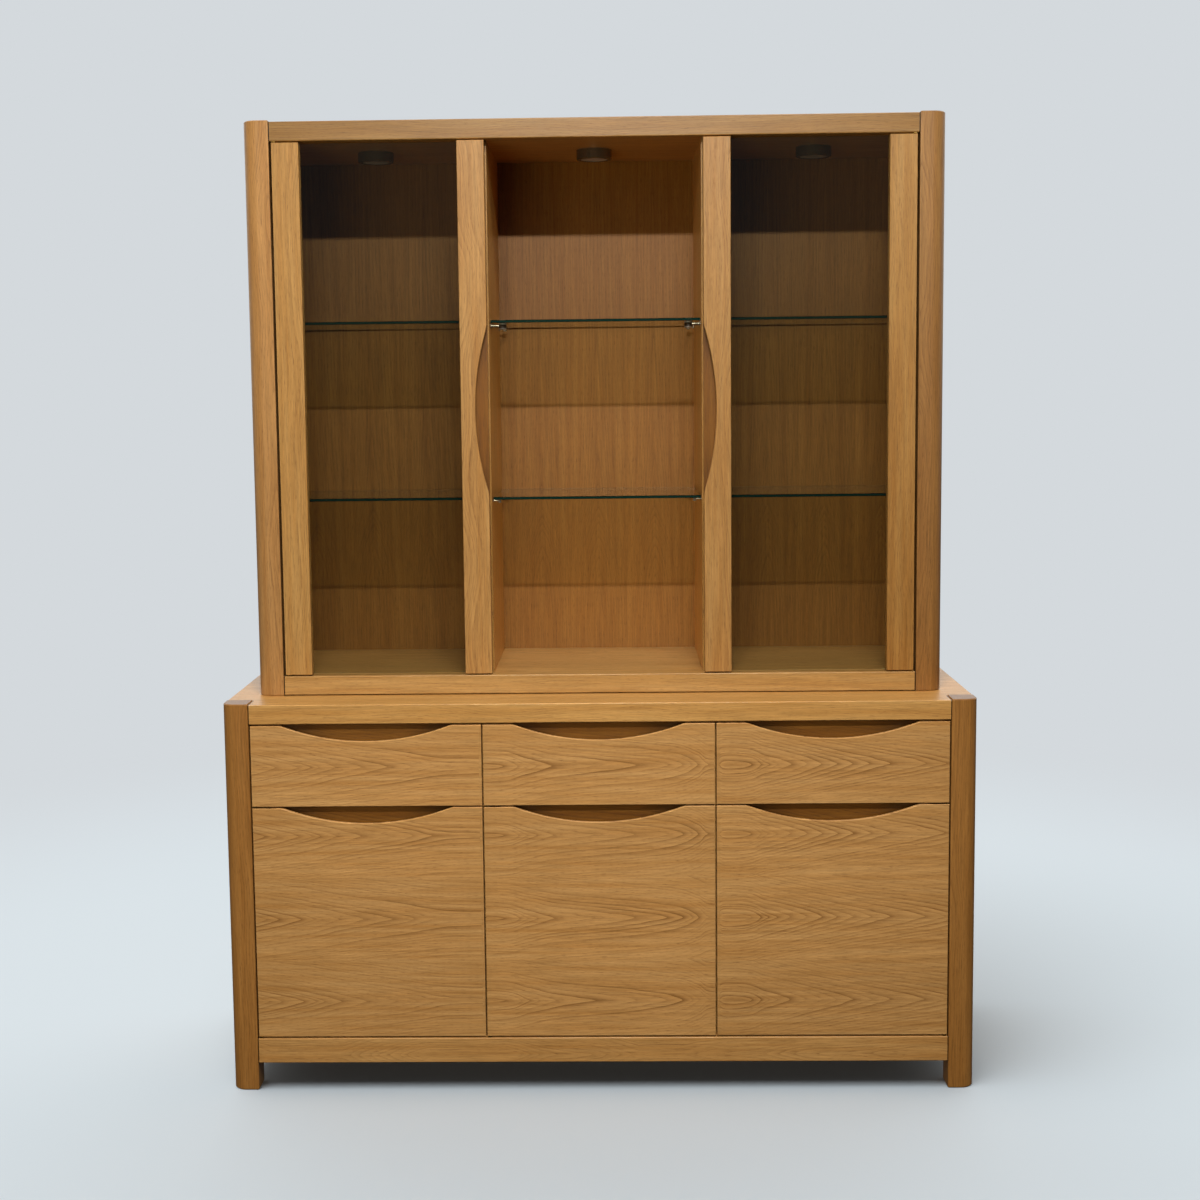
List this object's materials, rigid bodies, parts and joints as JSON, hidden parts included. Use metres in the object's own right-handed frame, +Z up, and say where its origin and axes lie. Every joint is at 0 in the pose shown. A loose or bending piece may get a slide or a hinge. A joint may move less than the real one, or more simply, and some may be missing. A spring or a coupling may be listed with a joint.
{
  "type": "display sideboard",
  "caption": "Oak sideboard with drawers over cupboards and a set-back display hutch with glass doors either side of an open bay; lens-shaped scooped pulls.",
  "frame": {"origin": "on the floor under the middle of the cabinet's footprint", "axes": "+Z up, front looks to -Y, +X to the viewer's right"},
  "size_m": [1.55, 0.5, 2.011],
  "materials": {
    "oak_solid": "satin lacquer on oak",
    "oak_veneer": "satin lacquer on oak veneer",
    "drawer_wood": "thin lacquer on plain wood",
    "clear_glass": "clear float glass, polished edges",
    "nickel": "nickel plated",
    "brass": "plain brass",
    "bronze_paint": "dark bronze, satin",
    "frosted_lens": "frosted lens"
  },
  "bodies": {
    "cabinet": {"base_post_front_left": "oak_solid", "base_post_front_right": "oak_solid", "base_post_rear_left": "oak_solid", "base_post_rear_right": "oak_solid", "base_side_panel_left": "oak_veneer", "base_side_panel_right": "oak_veneer", "base_top": "oak_solid", "base_bottom_panel": "oak_veneer", "base_divider_panel": "oak_veneer", "base_back_panel": "oak_veneer", "base_front_rail": "oak_solid", "base_top_rail": "oak_solid", "base_mid_rail": "oak_solid", "base_partition_left": "oak_veneer", "base_partition_right": "oak_veneer", "drawer_runners": "drawer_wood", "cupboard_shelves": "oak_veneer", "cupboard_shelf_clips": "nickel", "hutch_post_left": "oak_solid", "hutch_post_right": "oak_solid", "hutch_side_panel_left": "oak_veneer", "hutch_side_panel_right": "oak_veneer", "hutch_top": "oak_solid", "hutch_bottom": "oak_solid", "hutch_back_panel": "oak_veneer", "hutch_partition_left": "oak_veneer", "hutch_partition_right": "oak_veneer", "glass_shelves_left": "clear_glass", "glass_shelves_middle": "clear_glass", "glass_shelves_right": "clear_glass", "glass_shelf_holders": "nickel", "puck_lights": "bronze_paint", "puck_light_lenses": "frosted_lens", "pivot_leaves": "brass"},
    "drawer_left": {"drawer_left_front": "oak_veneer", "drawer_left_sides": "drawer_wood", "drawer_left_ends": "drawer_wood", "drawer_left_bottom": "drawer_wood"},
    "drawer_middle": {"drawer_middle_front": "oak_veneer", "drawer_middle_sides": "drawer_wood", "drawer_middle_ends": "drawer_wood", "drawer_middle_bottom": "drawer_wood"},
    "drawer_right": {"drawer_right_front": "oak_veneer", "drawer_right_sides": "drawer_wood", "drawer_right_ends": "drawer_wood", "drawer_right_bottom": "drawer_wood"},
    "cupboard_door_left": {"cupboard_door_left": "oak_veneer", "cupboard_door_left_pivot_plates": "brass"},
    "cupboard_door_middle": {"cupboard_door_middle": "oak_veneer", "cupboard_door_middle_pivot_plates": "brass"},
    "cupboard_door_right": {"cupboard_door_right": "oak_veneer", "cupboard_door_right_pivot_plates": "brass"},
    "glass_door_left": {"glass_door_left_hinge_stile": "oak_solid", "glass_door_left_handle_stile": "oak_solid", "glass_door_left_glass": "clear_glass", "glass_door_left_pivot_plates": "brass"},
    "glass_door_right": {"glass_door_right_hinge_stile": "oak_solid", "glass_door_right_handle_stile": "oak_solid", "glass_door_right_glass": "clear_glass", "glass_door_right_pivot_plates": "brass"}
  },
  "joints": [
    {"name": "drawer_left_slide", "type": "slide", "parent": "cabinet", "child": "drawer_left", "axis": [0, -1, 0], "range_m": [0, 0.35]},
    {"name": "drawer_middle_slide", "type": "slide", "parent": "cabinet", "child": "drawer_middle", "axis": [0, -1, 0], "range_m": [0, 0.35]},
    {"name": "drawer_right_slide", "type": "slide", "parent": "cabinet", "child": "drawer_right", "axis": [0, -1, 0], "range_m": [0, 0.35]},
    {"name": "cupboard_door_left_hinge", "type": "hinge", "parent": "cabinet", "child": "cupboard_door_left", "pos_m": [-0.712, -0.245, 0.3585], "axis": [0, 0, -1], "range_deg": [0, 105]},
    {"name": "cupboard_door_middle_hinge", "type": "hinge", "parent": "cabinet", "child": "cupboard_door_middle", "pos_m": [-0.233, -0.245, 0.3585], "axis": [0, 0, -1], "range_deg": [0, 105]},
    {"name": "cupboard_door_right_hinge", "type": "hinge", "parent": "cabinet", "child": "cupboard_door_right", "pos_m": [0.712, -0.245, 0.3585], "axis": [0, 0, 1], "range_deg": [0, 105]},
    {"name": "glass_door_left_hinge", "type": "hinge", "parent": "cabinet", "child": "glass_door_left", "pos_m": [-0.6555, -0.135, 1.414], "axis": [0, 0, -1], "range_deg": [0, 105]},
    {"name": "glass_door_right_hinge", "type": "hinge", "parent": "cabinet", "child": "glass_door_right", "pos_m": [0.6555, -0.135, 1.414], "axis": [0, 0, 1], "range_deg": [0, 105]}
  ]
}
